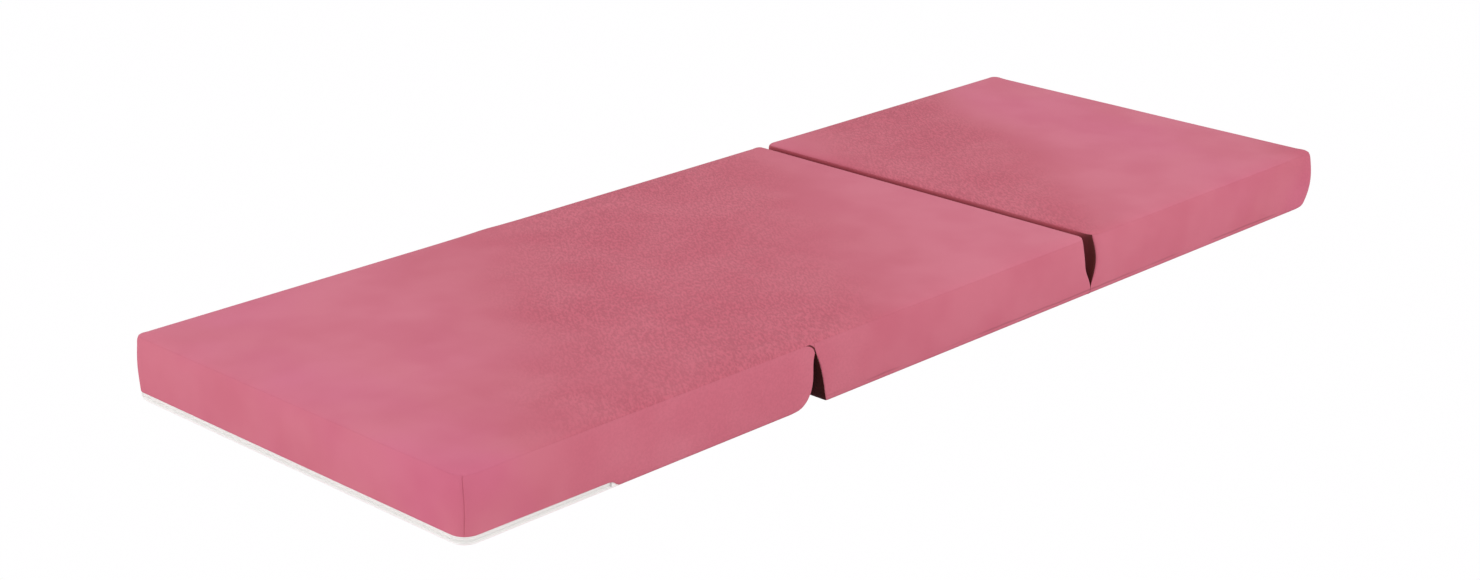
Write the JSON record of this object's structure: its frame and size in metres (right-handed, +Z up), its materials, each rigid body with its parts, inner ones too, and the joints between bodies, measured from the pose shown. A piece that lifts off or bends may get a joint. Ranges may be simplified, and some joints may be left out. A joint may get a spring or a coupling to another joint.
{
  "type": "folding mattress",
  "caption": "Folding floor mattress with foam sections in a soft velour cover that fold over and under each other, with zips along the lower edges.",
  "frame": {"origin": "on the floor under the middle of the mattress, laid out flat", "axes": "+X from the foot end to the head end, +Y to the side with all three zip sliders, +Z up"},
  "size_m": [1.9, 0.7, 0.1],
  "materials": {
    "velour_top": "brushed short-pile velour, rose",
    "velour_side": "short-pile velour laid smooth, lighter rose",
    "velour_fold": "short-pile velour, rose in shade",
    "velour_under": "short-pile velour, rose",
    "foam": "open-cell polyurethane foam, cream",
    "zip_tape": "woven polyester tape, ivory white",
    "zip_coil": "nylon coil, white",
    "zip_metal": "nickel-plated zinc, satin"
  },
  "bodies": {
    "foot": {"foot_foam_core": "foam", "foot_top_panel": "velour_top", "foot_bottom_panel": "velour_under", "foot_near_border": "velour_side", "foot_joint_wall": "velour_fold", "foot_far_border": "velour_side", "foot_end_border": "velour_side", "foot_zip_lower_tape": "zip_tape", "foot_zip_upper_tape": "zip_tape", "foot_zip_coil": "zip_coil", "foot_zip_far_stop": "zip_metal", "foot_zip_near_stop": "zip_metal"},
    "middle": {"middle_foam_core": "foam", "middle_top_panel": "velour_top", "middle_bottom_panel": "velour_under", "middle_near_border": "velour_side", "middle_head_side_wall": "velour_fold", "middle_far_border": "velour_side", "middle_foot_side_wall": "velour_fold", "middle_zip_lower_tape": "zip_tape", "middle_zip_upper_tape": "zip_tape", "middle_zip_coil": "zip_coil", "middle_zip_head_side_stop": "zip_metal", "middle_zip_foot_side_stop": "zip_metal"},
    "head": {"head_foam_core": "foam", "head_top_panel": "velour_top", "head_bottom_panel": "velour_under", "head_near_border": "velour_side", "head_end_border": "velour_side", "head_far_border": "velour_side", "head_joint_wall": "velour_fold", "head_zip_lower_tape": "zip_tape", "head_zip_upper_tape": "zip_tape", "head_zip_coil": "zip_coil", "head_zip_head_side_stop": "zip_metal", "head_zip_foot_side_stop": "zip_metal"},
    "foot_slider": {"foot_zip_slider": "zip_metal"},
    "foot_pull": {"foot_zip_pull": "zip_metal"},
    "middle_slider": {"middle_zip_slider": "zip_metal"},
    "middle_pull": {"middle_zip_pull": "zip_metal"},
    "head_slider": {"head_zip_slider": "zip_metal"},
    "head_pull": {"head_zip_pull": "zip_metal"}
  },
  "joints": [
    {"name": "foot_fold", "type": "hinge", "parent": "middle", "child": "foot", "pos_m": [-0.31666, 0, 0.1002], "axis": [0, 1, 0], "range_deg": [0, 180]},
    {"name": "head_fold", "type": "hinge", "parent": "middle", "child": "head", "pos_m": [0.31666, 0, -0.0002], "axis": [0, 1, 0], "range_deg": [0, 180]},
    {"name": "foot_zip_run", "type": "slide", "parent": "foot", "child": "foot_slider", "axis": [-1, 0, 0], "range_m": [0, 0.204]},
    {"name": "foot_pull_swing", "type": "hinge", "parent": "foot_slider", "child": "foot_pull", "pos_m": [-0.70849, 0.34747, 0.00643], "axis": [0, -0.0523, -0.9986], "range_deg": [0, 180]},
    {"name": "middle_zip_run", "type": "slide", "parent": "middle", "child": "middle_slider", "axis": [-1, 0, 0], "range_m": [0, 0.479]},
    {"name": "middle_pull_swing", "type": "hinge", "parent": "middle_slider", "child": "middle_pull", "pos_m": [0.23502, 0.34747, 0.00643], "axis": [0, -0.0523, -0.9986], "range_deg": [0, 180]},
    {"name": "head_zip_run", "type": "slide", "parent": "head", "child": "head_slider", "axis": [-1, 0, 0], "range_m": [0, 0.462]},
    {"name": "head_pull_swing", "type": "hinge", "parent": "head_slider", "child": "head_pull", "pos_m": [0.8605, 0.34747, 0.00643], "axis": [0, -0.0523, -0.9986], "range_deg": [0, 180]}
  ]
}
